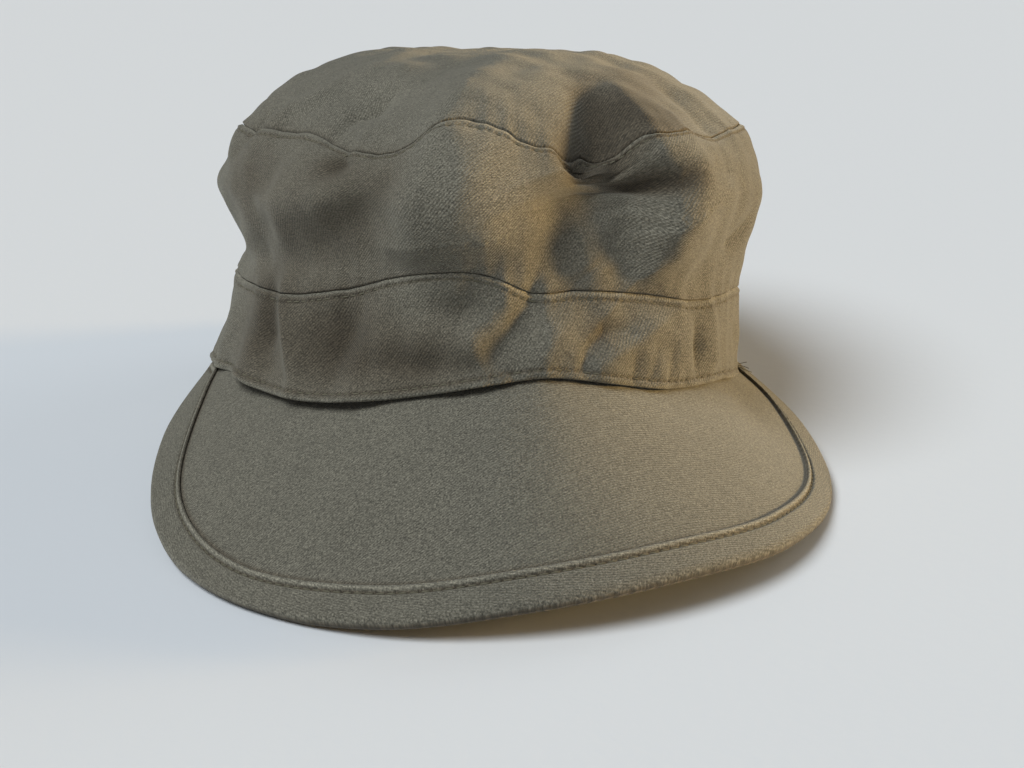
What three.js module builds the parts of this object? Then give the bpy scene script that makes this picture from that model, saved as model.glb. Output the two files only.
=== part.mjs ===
// A soft cotton field cap: a domed top panel, a side wall, a head band and a bound peak.
// Millimetres, +Z up. The front of the cap faces -Y and its right side is +X.
// The cap lies on a flat surface at z = 0, on the back of its band and the corners of its peak.
import * as THREE from "three";
import { mergeVertices } from "three/addons/utils/BufferGeometryUtils.js";

// Thicknesses and laps of the cloth
const BAND_THICK = 1.8; // the band is two layers of twill
const SIDE_THICK = 1.4;
const TOP_THICK = 1.4;
const PEAK_THICK = 1.8; // twill over a thin stiffener
const BORDER_THICK = 0.9; // each leaf of the binding
const GAP = 0.7; // clear space between cloths that lie on each other
const SLIP = 0.4; // clear space between the panel of the peak and its binding
const LAP = 8; // how far a lower edge reaches under the fold that covers it
const STEP = 0.9; // how far a folded edge stands proud of the cloth above it
const STEP_RAMP = 2.4; // the cloth climbs from the lap to the step over this height
const FADE = 12; // and from the step to the plain surface over this one

// The peak: a stiffened panel in a folded binding
const PEAK_END = 88; // the binding runs this far round from the front on each side
const PANEL_END = 80; // and the panel this far
const ROOT_DEPTH = 4.2; // the peak starts inside the band, this far behind its face
const ROOT_DROP = 0.2; // and this far below the hem
const PANEL_INSET = 1.9; // from the outer edge of the binding to the panel inside it
const SLOT_DEPTH = 1.5; // from the same edge to the bottom of the binding's slot
const RIM_ROUND = 2.2; // the outer edge is rounded over this width
const HEM_CLEARANCE = 4.6; // the binding comes no nearer than this to the root of the peak
const SLOT_HALF = PEAK_THICK / 2 + SLIP;
const BORDER_HALF = SLOT_HALF + BORDER_THICK;
const LAYER_SHARE = 0.75; // the layers of the sloping peak, measured straight up

// The cloth is laid out by an angle round the head, 0 at the front and 90 at the right, and by "up",
// the distance over the cloth from the hem. Each section is half an oval in front and half behind.
const SECTION_COLUMNS = ["up", "zLeft", "zRight", "zFront", "zBack", "left", "right", "front", "back"];
const SECTIONS = table(SECTION_COLUMNS, [
  [-3, -3, -3, 6.3, -3, 84.7, 81.2, 101.5, 101.5], // the lowest that the hem sags
  [0, 0, 0, 9.3, 0, 83.8, 81.0, 101, 101], // hem
  [15, 15, 14.5, 24.5, 14.5, 79.2, 80.2, 98.5, 98.5],
  [29, 29, 28.5, 38.4, 28.5, 76.3, 79.9, 96, 97.5], // seam of the band
  [37, 36, 37, 45, 36, 73.7, 81.8, 96, 98.5],
  [46, 44.5, 46.5, 52, 44, 77.0, 84.3, 98, 101.5],
  [57, 54.5, 57.5, 60, 53, 81.8, 86.7, 100, 103.5], // the side wall is fullest
  [66, 61.5, 65.5, 66, 60.5, 79.5, 84.0, 99.5, 101.5],
  [75, 68.5, 72.5, 71, 67, 77.0, 80.8, 97, 97.5],
  [82, 73.5, 77.4, 74.3, 72, 73.5, 78.3, 93.5, 93], // seam of the top panel
]);
const TOP_SEAM = 82;
const BAND_SEAM = 29;
const DOME_RISE = 22.5; // the crown above its seam
const DOME_POWER = 3.3; // flat in the middle, round at the shoulder
const DOME_REACH = 95; // cloth from the top seam to the middle of the crown

// How far each edge wanders above (+) or below (-) its plain height, by the angle round the head
const HEM_WAVE = table(["angle", "rise"], [
  [-180, 0], [-84, 0.5], [-66, 2], [-52, -0.8], [-40, -2.4], [-28, -1.8], [-14, 0.6], [0, 3.8],
  [8, 4.8], [20, 3.2], [34, 1.4], [54, 2.4], [74, 0.6], [180, 0],
]);
const BAND_SEAM_WAVE = table(["angle", "rise"], [
  [-180, 0], [-70, -1], [-50, -3], [-36, -1.2], [-24, 1.8], [-12, 3.6], [-5, 2.2], [4, -2.4],
  [14, -1.6], [28, -2], [42, -3.4], [62, -1], [180, 0],
]);
const TOP_SEAM_WAVE = table(["angle", "rise"], [
  [-180, 0], [-66, 0], [-46, 0.8], [-34, -3.8], [-22, -4.4], [-16, 2.8], [-10, 6], [-3, 3.6],
  [3, -4], [9, -8], [16, -6], [26, -0.2], [38, 1], [47, -1.4], [60, 0.2], [180, 0],
]);

// Ridges (height above 0) and dents (below 0) of the cloth, each along a line from one place to another.
// A fold that goes on from another starts a little after its end, because their heights add up.
const FOLD_COLUMNS = ["angle", "up", "toAngle", "toUp", "width", "height"];
const FOLDS = table(FOLD_COLUMNS, [
  [0, 118, 3, 76, 11, 3], // broad front ridge of the crown
  [3, 60, 3, 36, 9, 4],
  [30, 112, 18, 84, 9, -8], // deep valley right of it
  [17, 74, 34, 66, 8, -5],
  [26, 62, 28, 34, 10, -6],
  [44, 109, 44, 90, 7, 3.5], // ridge over the right shoulder
  [45, 78, 51, 58, 7, 4],
  [6, 79, 13, 58, 5, 3], // crooked fold on the front of the side wall
  [13, 58, 2, 30, 5, 2.5],
  [-6, 58, -6, 40, 6, -3],
  [-16, 86, -19, 63, 6, 3.5], // fold left of the front
  [-22, 54, -30, 40, 6, 3],
  [-38, 77, -30, 74, 6, -6], // dent under the top seam
  [-22, 66, -38, 47, 7, -5],
  [-70, 96, -65, 89, 7, 3], // fold over the left shoulder
  [-65, 79, -78, 66, 6, 3],
  [-32, 94, -36, 86, 3.5, -2.5],
  [-40, 103, -18, 97, 14, -4],
  [-56, 66, -68, 48, 6, -4],
  [-48, 62, -54, 46, 5, 3],
  [59, 48, 53, 42, 3.5, -2],
  [-51, 24, -42, 2, 4, 3], // folds of the band
  [-38, 22, -36, 6, 6, -4],
  [-62, 24, -59, 15, 5, -3],
  [-13, 21, -12, 17, 4, -3],
  [10, 24, -3, 12, 4, -3],
  [22, 16, 12, 9, 3.5, -3],
  [42, 19, 42, 6, 4, -3.5],
  [48, 24, 48, 12, 4, 2],
  [44, 28, 20, 11, 4, 2.5],
  [105, 78, 98, 48, 10, -5], // sides and back
  [128, 96, 132, 60, 9, 3],
  [150, 70, 165, 40, 12, -4],
  [-176, 104, -178, 52, 13, 3],
  [-110, 72, -118, 44, 10, -5],
  [-150, 92, -140, 56, 11, -4],
  [120, 132, -160, 128, 15, -3],
]);

// The peak is ruled from the hem to its edge. "border" is the width of the binding along the ruling.
const PEAK_COLUMNS = ["angle", "x", "y", "z", "border"];
const PEAK = table(PEAK_COLUMNS, [
  [-88, -83.8, -5.0, -3.4, 13],
  [-72, -94.8, -48.7, -15.6, 20],
  [-54, -93.1, -93.4, -28.5, 12.5],
  [-36, -73.7, -130.0, -35.8, 11],
  [-18, -38.1, -154.4, -34.4, 11.5],
  [0, 0.0, -161.5, -28.1, 11.6],
  [18, 37.2, -153.7, -23.3, 11.4],
  [36, 68.5, -131.6, -22.1, 10.8],
  [54, 89.4, -92.7, -21.1, 10.8],
  [72, 93.2, -48.0, -12.4, 15],
  [88, 83.6, -5.0, -3.6, 13],
]);

// Where the cap lies: turned from the level of its hem, then lowered until it meets the surface
const REST_TILT = 7.9; // degrees, the front goes up
const REST_ROLL = 3.3; // degrees, the right side goes down
const REST_HEIGHT = 13.9; // of the middle of the hem's level over the surface

// How finely the pieces are cut into facets
const COLUMNS = 72; // round the head, closest together at the front
const FRONT_CROWDING = 0.35; // 0 spaces them evenly
const PEAK_STEP = 4; // degrees between the rulings of the peak
const PANEL_ROWS = 5; // along each ruling of the panel
const RIM_TURNS = [90, 45, 0, -45, -90]; // degrees round the outer edge of the binding
const SLOPE_STEP = 0.2; // degrees or millimetres over which the slope of the cloth is taken

const COLOURS = { top: 0x7d7763, side: 0x77705c, band: 0x756e5a, peak: 0x78725f, border: 0x726b58 };
const ROUGHNESS = 0.92;
const DEGREE = Math.PI / 180;
const HEAD_RADIUS = 90; // turns an angle into a distance over the wall

// ---- tables and curves ----

function table(columns, rows) {
  return rows.map((row) => Object.fromEntries(columns.map((column, i) => [column, row[i]])));
}

// The value of a column at a place, on a smooth curve through the rows.
function along(rows, key, place, column) {
  const last = rows.length - 1;
  const at = THREE.MathUtils.clamp(place, rows[0][key], rows[last][key]);
  let i = 0;
  while (i < last - 1 && at >= rows[i + 1][key]) i += 1;
  const slope = (k) => {
    const before = rows[Math.max(k - 1, 0)];
    const after = rows[Math.min(k + 1, last)];
    return (after[column] - before[column]) / (after[key] - before[key]);
  };
  const span = rows[i + 1][key] - rows[i][key];
  const t = (at - rows[i][key]) / span;
  const bend = t * t * (3 - 2 * t);
  const leave = t * (1 - t) * (1 - t) * span * slope(i);
  const arrive = t * t * (1 - t) * span * slope(i + 1);
  return rows[i][column] * (1 - bend) + rows[i + 1][column] * bend + leave - arrive;
}

const hemUp = (angle) => along(HEM_WAVE, "angle", angle, "rise");
const bandSeamUp = (angle) => BAND_SEAM + along(BAND_SEAM_WAVE, "angle", angle, "rise");
const topSeamUp = (angle) => TOP_SEAM + along(TOP_SEAM_WAVE, "angle", angle, "rise");

// ---- the surface of the crown and the band ----

// 1 on the wall, falling to 0 in the middle of the crown.
function domeShare(up) {
  return THREE.MathUtils.clamp(1 - (up - TOP_SEAM) / DOME_REACH, 0, 1);
}

// A place on the cloth without its folds.
function plainPoint(angle, up) {
  const side = Math.sin(angle * DEGREE);
  const ahead = Math.cos(angle * DEGREE);
  const read = (column) => along(SECTIONS, "up", up, column);
  const middle = (read("zLeft") + read("zRight")) / 2;
  const lean = (read("zRight") - read("zLeft")) / 2;
  const end = ahead > 0 ? read("zFront") : read("zBack");
  const x = side * (side > 0 ? read("right") : read("left"));
  const y = -ahead * (ahead > 0 ? read("front") : read("back"));
  const z = middle + lean * side + (end - middle) * ahead * ahead;
  const share = domeShare(up);
  const crown = middle + (z - middle) * share * share + DOME_RISE * (1 - share ** DOME_POWER);
  return new THREE.Vector3(x * share, y * share, share < 1 ? crown : z);
}

// The outward direction of the cloth.
function outward(angle, up) {
  if (domeShare(up) === 0) return new THREE.Vector3(0, 0, 1);
  const round = plainPoint(angle + SLOPE_STEP, up).sub(plainPoint(angle - SLOPE_STEP, up));
  const climb = plainPoint(angle, up + SLOPE_STEP).sub(plainPoint(angle, up - SLOPE_STEP));
  return round.cross(climb).normalize();
}

function wrapped(angle) {
  return THREE.MathUtils.euclideanModulo(angle + 180, 360) - 180;
}

// How far the folds push the cloth out (+) or in (-).
function foldHeight(angle, up) {
  const perDegree = HEAD_RADIUS * DEGREE * domeShare(up);
  let height = 0;
  for (const fold of FOLDS) {
    const run = new THREE.Vector2(wrapped(fold.toAngle - fold.angle) * perDegree, fold.toUp - fold.up);
    const here = new THREE.Vector2(wrapped(angle - fold.angle) * perDegree, up - fold.up);
    const share = THREE.MathUtils.clamp(here.dot(run) / run.lengthSq(), 0, 1);
    const away = here.addScaledVector(run, -share).length() / fold.width;
    height += fold.height * Math.exp(-away * away);
  }
  return height;
}

// A place on the cloth, "depth" under its outer face.
function clothPoint(angle, up, depth) {
  return plainPoint(angle, up).addScaledVector(outward(angle, up), foldHeight(angle, up) - depth);
}

// ---- closed pieces from rings of points ----

// Column u of a wall, as an angle from -180 to 180, with the columns closest together at the front.
function columnAngle(u) {
  const turn = 2 * u - 1;
  return 180 * turn - (180 / Math.PI) * FRONT_CROWDING * Math.sin(Math.PI * turn);
}

// A closed body swept by ring(u), a closed loop of points that has the same count for every u.
function sweep(ring, columns) {
  const rings = Array.from({ length: columns + 1 }, (_, i) => ring(i / columns));
  const points = rings.flat();
  const count = rings[0].length;
  const index = [];
  for (let i = 0; i < columns; i += 1)
    for (let j = 0; j < count; j += 1) {
      const next = (j + 1) % count;
      const [a, b] = [i * count + j, (i + 1) * count + j];
      const [c, d] = [(i + 1) * count + next, i * count + next];
      // The shorter diagonal follows a fold, and is the same one on both faces of a wall.
      const short = points[a].distanceTo(points[c]) < points[b].distanceTo(points[d]);
      index.push(...(short ? [a, b, c, a, c, d] : [a, b, d, b, c, d]));
    }
  return closed(new THREE.BufferGeometry().setFromPoints(points).setIndex(index));
}

// Merges the shared points and drops the triangles that a pole or a tapered end has collapsed.
function closed(geometry) {
  const merged = mergeVertices(geometry, 1e-3);
  const index = merged.index.array;
  const kept = [];
  for (let i = 0; i < index.length; i += 3) {
    const [a, b, c] = index.slice(i, i + 3);
    if (a !== b && b !== c && c !== a) kept.push(a, b, c);
  }
  merged.setIndex(kept);
  merged.computeVertexNormals();
  return merged;
}

// ---- the way the cap lies ----

const lie = new THREE.Matrix4()
  .makeTranslation(0, 0, REST_HEIGHT)
  .multiply(new THREE.Matrix4().makeRotationY(REST_ROLL * DEGREE))
  .multiply(new THREE.Matrix4().makeRotationX(-REST_TILT * DEGREE));

// Lays a point down with the cap. Cloth that would sink in is flattened, with the layers of
// cloth under the point, "below" thick in all, still under it.
function laid(point, below) {
  point.applyMatrix4(lie);
  point.z = Math.max(point.z, below);
  return point;
}

// ---- the pieces of the crown and the band ----

// A wall of cloth: rows of [up, depth] on the outer face, the same rows on the inner face, and back.
function wallRing(outerRows, thickness) {
  return (u) => {
    const angle = columnAngle(u);
    const outer = outerRows(angle);
    const inner = outer.map(([up, depth]) => [up, depth + thickness]).reverse();
    return [...outer, ...inner].map(([up, depth]) => laid(clothPoint(angle, up, depth), 0));
  };
}

// Rows of a wall that comes out from under the fold that covers its lower edge, up to "top".
function lappedRows(seam, top, coverThickness, count) {
  const covered = evenRows(seam - LAP, seam, 2, () => coverThickness + GAP);
  covered[2][0] += GAP;
  const faded = (up) => STEP * Math.max(1 - (up - seam - STEP_RAMP) / FADE, 0);
  return [...covered, ...evenRows(seam + STEP_RAMP, top, count, faded)];
}

// Rows of [up, depth] spaced evenly from one height to another.
function evenRows(from, to, count, depthAt = () => 0) {
  const heights = Array.from({ length: count + 1 }, (_, i) => from + ((to - from) * i) / count);
  return heights.map((up) => [up, depthAt(up)]);
}

function headBand() {
  const rows = (angle) => {
    const high = bandSeamUp(angle);
    return [...evenRows(hemUp(angle), high - LAP, 3), ...evenRows(high - LAP / 2, high, 1)];
  };
  return sweep(wallRing(rows, BAND_THICK), COLUMNS);
}

function crownSide() {
  const rows = (angle) => {
    const high = topSeamUp(angle);
    const low = lappedRows(bandSeamUp(angle), high - LAP, BAND_THICK, 4);
    return [...low, ...evenRows(high - LAP / 2, high, 1)];
  };
  return sweep(wallRing(rows, SIDE_THICK), COLUMNS);
}

function crownTop() {
  const middle = TOP_SEAM + DOME_REACH;
  const rows = (angle) => lappedRows(topSeamUp(angle), middle, SIDE_THICK, 7);
  return sweep(wallRing(rows, TOP_THICK), COLUMNS);
}

// ---- the peak ----

function rootPoint(angle) {
  const point = clothPoint(angle, hemUp(angle), ROOT_DEPTH);
  point.z -= ROOT_DROP;
  return point;
}

function edgePoint(angle) {
  return new THREE.Vector3(...["x", "y", "z"].map((axis) => along(PEAK, "angle", angle, axis)));
}

// A place on the ruling at an angle, "inward" from the edge and "height" over the middle of the panel.
function peakPoint(angle, inward, height) {
  const ruling = (at) => [rootPoint(at), edgePoint(at)];
  const [root, edge] = ruling(angle);
  const share = 1 - inward / root.distanceTo(edge);
  const onRuling = (at) => new THREE.Vector3().lerpVectors(...ruling(at), share);
  const across = onRuling(angle + 1).sub(onRuling(angle - 1));
  const up = across.cross(edge.sub(root)).normalize();
  return onRuling(angle).addScaledVector(up, Math.sign(up.z) * height);
}

function rulingLength(angle) {
  return rootPoint(angle).distanceTo(edgePoint(angle));
}

// Sweeps a section, a list of [inward, height], over the peak from one end to the other.
// "taper" gives what becomes of a point of the section at the two ends, where the body closes.
function peakSweep(section, end, taper) {
  const columns = (2 * end) / PEAK_STEP;
  return sweep((u) => {
    const angle = end * (1 - 2 * u);
    const isEnd = u === 0 || u === 1;
    const points = isEnd ? section(angle).map(taper) : section(angle);
    return points.map(([inward, height]) => {
      const below = (height + BORDER_HALF) * LAYER_SHARE;
      return laid(peakPoint(angle, inward, height), below);
    });
  }, columns);
}

// The same points on the other side of the middle of the peak, in the opposite order.
function mirrored(points) {
  return points.map(([inward, height]) => [inward, -height]).reverse();
}

// The panel: its ends close to a thin edge.
function peakPanel() {
  const section = (angle) => {
    const length = rulingLength(angle);
    const rows = Array.from({ length: PANEL_ROWS + 1 }, (_, i) => i / PANEL_ROWS);
    const top = rows.map((share) => [THREE.MathUtils.lerp(length, PANEL_INSET, share), PEAK_THICK / 2]);
    return [...top, ...mirrored(top)];
  };
  return peakSweep(section, PANEL_END, ([inward]) => [inward, 0]);
}

// The binding: a folded strip round the edge of the panel, whose ends close to a point.
function peakBorder() {
  const section = (angle) => {
    const widest = rulingLength(angle) - HEM_CLEARANCE;
    const width = Math.min(along(PEAK, "angle", angle, "border"), widest);
    const leaf = [width, width / 2].map((inward) => [inward, BORDER_HALF]);
    const slot = [SLOT_DEPTH, width / 2, width].map((inward) => [inward, SLOT_HALF]);
    return [...leaf, ...RIM_TURNS.map(rimPoint), ...mirrored(leaf), ...mirrored(slot), ...slot];
  };
  return peakSweep(section, PEAK_END, () => [0, 0]);
}

// A place on the rounded outer edge of the binding, from 90 on top to -90 below.
function rimPoint(turn) {
  return [RIM_ROUND * (1 - Math.cos(turn * DEGREE)), BORDER_HALF * Math.sin(turn * DEGREE)];
}

// ---- assembly ----

function piece(name, geometry, colour) {
  const material = new THREE.MeshStandardMaterial({ color: colour, roughness: ROUGHNESS, metalness: 0 });
  const mesh = new THREE.Mesh(geometry, material);
  mesh.name = name;
  return mesh;
}

const cap = new THREE.Group();
cap.add(
  piece("crown_top", crownTop(), COLOURS.top),
  piece("crown_side", crownSide(), COLOURS.side),
  piece("head_band", headBand(), COLOURS.band),
  piece("peak", peakPanel(), COLOURS.peak),
  piece("peak_border", peakBorder(), COLOURS.border),
);

// The origin is under the middle of the cap.
const middle = new THREE.Box3().setFromObject(cap).getCenter(new THREE.Vector3());
cap.children.forEach((mesh) => mesh.geometry.translate(-middle.x, -middle.y, 0));

export default cap;
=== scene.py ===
"""A field cap of olive twill: its looks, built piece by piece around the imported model.

Lengths are in millimetres inside the functions and in metres on Blender's objects. A place on the
crown is an angle round the head (degrees, 0 at the front, + toward the wearer's left, +X) and a
height "up" the cloth over the hem. A depth is how far under the cloth's outer face a point lies.
"""

import math

import bmesh
import bpy
import numpy as np
from bpy.props import FloatProperty, FloatVectorProperty, PointerProperty
from mathutils import Matrix, Quaternion, Vector


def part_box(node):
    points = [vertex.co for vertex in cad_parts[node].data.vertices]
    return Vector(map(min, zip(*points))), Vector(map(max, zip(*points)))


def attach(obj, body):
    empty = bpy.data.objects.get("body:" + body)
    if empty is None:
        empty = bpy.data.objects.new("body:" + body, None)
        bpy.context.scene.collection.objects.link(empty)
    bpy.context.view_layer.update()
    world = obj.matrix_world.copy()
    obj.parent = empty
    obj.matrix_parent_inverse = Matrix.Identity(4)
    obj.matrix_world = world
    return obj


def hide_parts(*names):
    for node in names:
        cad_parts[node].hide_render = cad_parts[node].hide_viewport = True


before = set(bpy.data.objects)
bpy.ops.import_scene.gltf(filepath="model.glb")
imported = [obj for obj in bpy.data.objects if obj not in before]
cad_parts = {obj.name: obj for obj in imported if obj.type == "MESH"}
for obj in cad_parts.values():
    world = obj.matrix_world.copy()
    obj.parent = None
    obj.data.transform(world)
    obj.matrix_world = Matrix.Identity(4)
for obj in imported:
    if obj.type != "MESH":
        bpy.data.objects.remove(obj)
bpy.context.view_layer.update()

bl_info = {
    "name": "Field cap",
    "version": (1, 0, 0),
    "blender": (4, 5, 0),
    "location": "View3D > Sidebar > Field cap",
    "description": "Builds the cloth, stitching and stage of a field cap around its frame",
    "category": "Object",
}

MM = 0.001
DEGREE = math.pi / 180
TINY = 1e-9  # as good as nothing

# ---- sizes of the cloth, in millimetres ----

BAND_THICK = 1.3  # two layers of twill, folded over at the top
WALL_THICK = 1.0
AIR = 0.15  # between cloths that lie on each other
LAP = 8  # a lower edge reaches this far under the fold that covers it
STEP = 0.25  # a folded edge stands this proud of the cloth above it
STEP_RAMP = 0.4  # the cloth climbs from the lap to the step over this height
FADE = 12  # and from the step to the plain surface over this one
FINE = 7  # rows are close together this near an edge
SEAM_STITCH = 2.1  # from a folded edge to its row of stitches
HEM_STITCH = 2.2
GROOVE = 0.45  # how deep a row of stitches pulls the cloth in
GROOVE_HALF = 0.55
DIMPLED = 0.35  # the share of that depth that comes and goes with each stitch
PRESSED = 0.6  # the share of a fold's thickness that pressing takes off at its end
PRESS_REACH = 0.9  # and how far from the end it does
EDGE_ROLL = 0.18  # a folded edge is this much plumper than the cloth
ROLL_AT = 1.2  # most at this distance from its end
ROLL_HALF = 0.7
LIP_REACH = 3.4  # the lower lip of the band turns out over this height

PEAK_END = 88  # degrees: the binding runs this far round from the front on each side
PANEL_END = 80  # and the panel this far
ROOT_FADE = 9  # the folds of the hem shift the peak only this near its root
ROOT_DEPTH = 4.2  # the peak starts inside the band, this far behind its face
PANEL_THICK = 1.8
PANEL_INSET = 1.9
LEAF = 0.45  # each leaf of the binding
RIM_HALF = 2.2  # half the thickness of the rounded rim
HEM_CLEARANCE = 4.6  # the binding comes no nearer than this to the root of the peak
LAYER_SHARE = 0.75  # the layers of the sloping peak, measured straight up
SLOPE_STRETCH = 1.12  # the sloping cloth of the peak is this much longer than its plan
WELT = 1.9  # width of the puffed inner edge of the binding
WELT_RISE = 0.4
BINDING_STITCH = 0.4  # from the welt to its row of stitches
BINDING_GROOVE = 0.7
SLOT_END = 1.6  # the slot that holds the panel ends this far inside the rim

# The gathers of a sewn seam: a wave along it that is uneven because slow waves shift it.
PUCKER_TURN = 0.83  # radians for each millimetre of seam
PUCKER_DEPTH = 0.16
PUCKER_CHANGE = 0.09  # radians for each millimetre over which the depth comes and goes
PUCKERS_ON_FOLD = 5  # they fade this far from the edge
PUCKERS_UNDER_FOLD = 6

# ---- the shape of the crown ----


def table(columns, rows):
    """Rows with named columns, from a line of names and lists of values."""
    return [dict(zip(columns.split(), row)) for row in rows]


# Sections of the wall: heights at the two sides, the front and the back, and the reach each way.
SECTIONS = table("up zLeft zRight zFront zBack left right front back", [
    [-3, -3, -3, 6.3, -3, 84.7, 81.2, 101.5, 101.5],
    [0, 0, 0, 9.3, 0, 83.8, 81.0, 101, 101],
    [15, 15, 14.5, 24.5, 14.5, 79.2, 80.2, 98.5, 98.5],
    [29, 29, 28.5, 38.4, 28.5, 76.3, 79.9, 96, 97.5],
    [37, 36, 37, 45, 36, 73.7, 81.8, 96, 98.5],
    [46, 44.5, 46.5, 52, 44, 77.0, 84.3, 98, 101.5],
    [57, 54.5, 57.5, 60, 53, 81.8, 86.7, 100, 103.5],
    [66, 61.5, 65.5, 66, 60.5, 79.5, 84.0, 99.5, 101.5],
    [75, 68.5, 72.5, 71, 67, 77.0, 80.8, 97, 97.5],
    [82, 73.5, 77.4, 74.3, 72, 73.5, 78.3, 93.5, 93],
])
TOP_SEAM = 82  # the folded edges of the side wall and of the band, up from the hem
BAND_SEAM = 29
DOME_RISE = 22.5  # the crown above its seam
DOME_POWER = 3.3  # flat in the middle, round at the shoulder
DOME_REACH = 95  # cloth from the top seam to the middle of the crown
HEAD_RADIUS = 90  # turns an angle into a distance over the wall
SLOPE_STEP = 0.2  # degrees or millimetres over which the slope of the cloth is taken
PEAK_SLOPE_STEP = 1  # degrees

# How the hem and the two folded edges wave up and down round the head.
HEM_WAVE = table("angle rise", [
    [-180, 0], [-84, 0.5], [-66, 2], [-52, -0.8], [-40, -2.4], [-28, -1.8], [-14, 0.6], [0, 3.8],
    [8, 4.8], [20, 3.2], [34, 1.4], [54, 2.4], [74, 0.6], [180, 0],
])
BAND_SEAM_WAVE = table("angle rise", [
    [-180, 0], [-70, -1], [-50, -3], [-36, -1.2], [-24, 1.8], [-12, 3.6], [-5, 2.2], [4, -2.4],
    [14, -1.6], [28, -2], [42, -3.4], [62, -1], [180, 0],
])
TOP_SEAM_WAVE = table("angle rise", [
    [-180, 0], [-66, 0], [-50, 2.2], [-43, 1], [-34, -3], [-22, -4.4], [-16, 0], [-10, 3], [-3, 2],
    [3, 0], [9, 0.2], [13, 2.2], [17, 5.3], [24, 1.4], [31, -1.2], [38, 0], [42, -2], [47, -1.4],
    [60, 0.2], [180, 0],
])
PUCKER_DRIFTS = table("turn start size", [[0.131, 0, 1.7], [0.057, 2, 1.1]])

# A fold follows its path of places (angle, up, height) and pushes the cloth out (+) or in (-).
# "width" is its reach on the right of the way the path runs, and "other" on the left. "edge" is 2
# for a soft fold and nearer to 1 for a sharper crest.
FOLDS = table("width other edge path", [
    # down the front, over the forehead
    [10, 24, 2, [
        (-6, 118, 1), (-10, 100, 4), (-13, 82, 6.5), (-16, 60, 8), (-18, 44, 7), (-16, 30, 2.5)]],
    [7, 6, 2.4, [(25, 106, -1), (22, 98, -4), (18, 88, -8), (14, 79, -9), (14, 72, -4)]],
    [9, 4, 1.7, [(25, 105, -1.5), (24, 96, -5), (23, 86, -8), (23, 76, -7)]],
    [20, 20, 2.2, [
        (12, 74, -3), (15, 66, -9), (17, 57, -16), (17, 47, -14), (20, 38, -9), (25, 29, -2)]],
    [6, 6, 2, [(31, 62, -3), (27, 64, -6), (21, 67, -4), (15, 68, -1)]],
    [6, 16, 2, [
        (26, 108, 1.5), (25, 96, 3.5), (26, 85, 5), (32, 67, 6.5), (31, 50, 7), (29, 36, 3.5),
        (28, 26, 1)]],
    [7, 9, 2, [(12, 49, 1), (15, 41, 4), (17, 33, 4), (18, 24, 1)]],
    [4, 5, 1.8, [(8, 40, -1), (5, 30, -2), (2, 20, -3), (-3, 11, -2)]],
    [5, 4, 1.8, [(50, 100, -1), (48, 82, -2.2), (47, 66, -1.5)]],
    [3, 3.5, 1.4, [(60, 50, -1), (53, 42, -2)]],
    # the wearer's right of the front
    [8, 9, 1.8, [(-19, 74, -1), (-24, 62, -2.5), (-30, 50, -3), (-38, 44, -2), (-46, 40, -1)]],
    [7, 8, 2, [(-26, 64, 1), (-38, 60, 1.2), (-46, 54, 0.5)]],
    [2.6, 3, 1.3, [(-33, 105, -0.5), (-36, 96, -1.8), (-40, 91, -2.2), (-40, 87, -0.6)]],
    [4, 5, 1.7, [(-36, 79, -0.5), (-36, 73, -3), (-39, 67, -1.5)]],
    [8, 9, 1.8, [(-48, 80, -1), (-56, 67, -2.5), (-62, 58, -2.5), (-74, 54, -1)]],
    [6, 7, 2, [(-50, 64, 0.5), (-52, 52, 1), (-54, 40, 0.3)]],
    [6, 7, 1.9, [(-50, 112, 0.5), (-57, 96, 2), (-63, 82, 2.5), (-70, 68, 0.6)]],
    [9, 9, 1.8, [(-46, 102, -1.5), (-34, 98, -1.8), (-24, 98, -0.8)]],
    [5, 4, 1.8, [(-68, 88, -1.2), (-74, 74, -1.6)]],
    # the band
    [7, 8, 1.8, [(-30, 27, -2), (-34, 17, -6), (-36, 7, -3)]],
    [3, 4, 1.5, [(-52, 28, 1.5), (-48, 14, 3), (-44, 1, 2)]],
    [4, 5, 1.8, [(-58, 26, -2.5), (-56, 15, -4), (-54, 8, -1)]],
    [3, 4, 1.8, [(-28, 8, -1.5), (-14, 7, -2), (-6, 6, -0.5)]],
    [4, 4, 1.8, [(-17, 23, -1), (-10, 21, -2.5), (-4, 22, -0.5)]],
    [5, 5, 2, [(-17, 14, 1), (-8, 14, 2)]],
    [2.5, 3, 1.6, [(24, 17, -1), (19, 17, -2.5), (15, 12, -1.5), (14, 8, -1.5)]],
    [3, 4, 1.5, [(38, 25, 0.8), (30, 18, 1.8), (22, 12, 1.8), (17, 8, 1)]],
    [2, 2, 1.7, [(35, 12, -0.5), (34, 5, -0.8)]],
    [2, 2, 1.7, [(30, 12, -0.5), (29, 4, -0.8)]],
    [2, 2, 1.7, [(25, 10, -0.5), (25, 4, -0.6)]],
    [4, 5, 1.8, [(12, 19, 0.6), (7, 14, 1.6), (5, 9, 1)]],
    [2.5, 3, 1.7, [(42, 20, -0.8), (43, 13, -3), (42.5, 6, -1)]],
    [3.5, 4, 1.8, [(48, 26, 1), (49, 10, 1.5)]],
    # the back
    [10, 10, 2, [(105, 78, -4), (98, 48, -5)]],
    [9, 9, 1.8, [(128, 96, 2.5), (132, 60, 3)]],
    [12, 10, 1.8, [(150, 72, -3), (158, 56, -5), (165, 38, -3)]],
    [13, 13, 1.8, [(-176, 104, 2), (-178, 52, 3)]],
    [10, 10, 2, [(-110, 74, -4), (-118, 44, -5)]],
    [11, 10, 1.8, [(-150, 92, -3), (-146, 72, -4.5), (-140, 54, -3)]],
    [15, 15, 2, [(120, 132, -2), (-160, 128, -3)]],
])
CREST = 0.02  # rounds the crest of a fold
DEEPEST = 18  # where folds meet they push no further than this

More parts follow.
